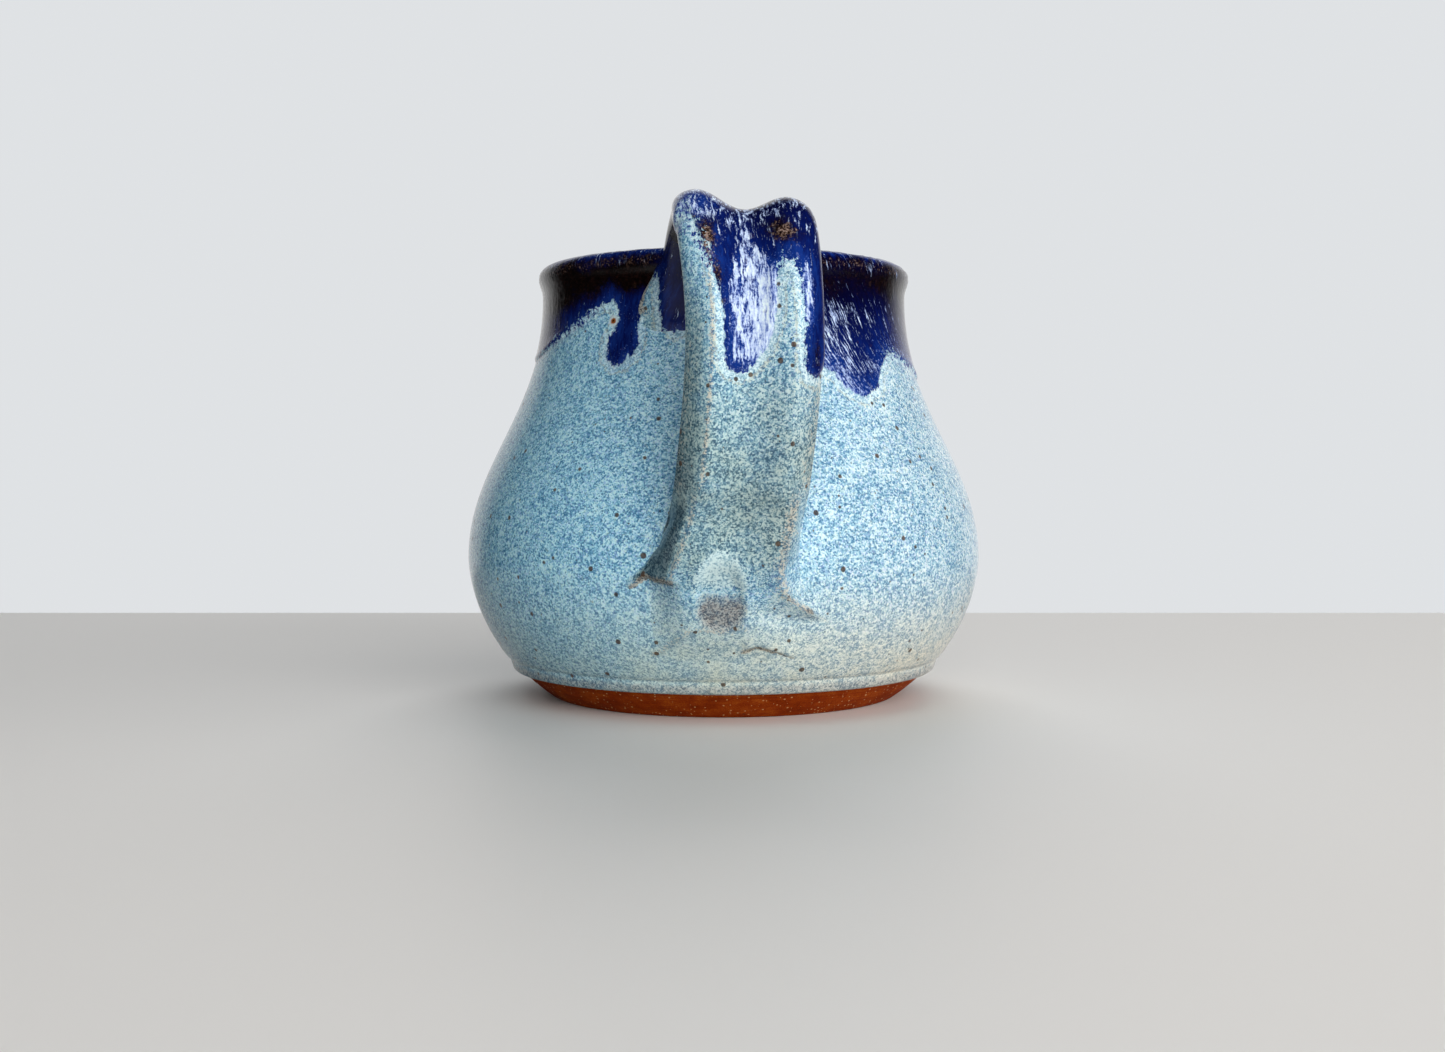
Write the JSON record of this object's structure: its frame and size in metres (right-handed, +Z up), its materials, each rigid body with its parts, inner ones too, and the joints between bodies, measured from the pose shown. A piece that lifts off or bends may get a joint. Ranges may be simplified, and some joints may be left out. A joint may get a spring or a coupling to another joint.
{
  "type": "ceramic pitcher",
  "caption": "Round-bellied wheel-thrown stoneware pitcher with a pulled pouring lip and an arched strap handle, in pale blue glaze with a cobalt dipped rim and a bare clay foot.",
  "frame": {"origin": "centre of the foot ring, on the table plane", "axes": "+Z up along the throwing axis, the handle towards -Y, the pouring lip towards +Y"},
  "size_m": [0.1434, 0.1618, 0.128],
  "materials": {
    "clay": "matte",
    "pale_glaze": "gloss",
    "liner_glaze": "gloss",
    "cobalt_glaze": "gloss"
  },
  "bodies": {
    "root": {"thrown_body": "clay", "pulled_handle": "clay", "outer_glaze": "pale_glaze", "liner_glaze": "liner_glaze", "handle_glaze": "pale_glaze", "rim_overglaze": "cobalt_glaze", "handle_overglaze": "cobalt_glaze"}
  },
  "joints": []
}
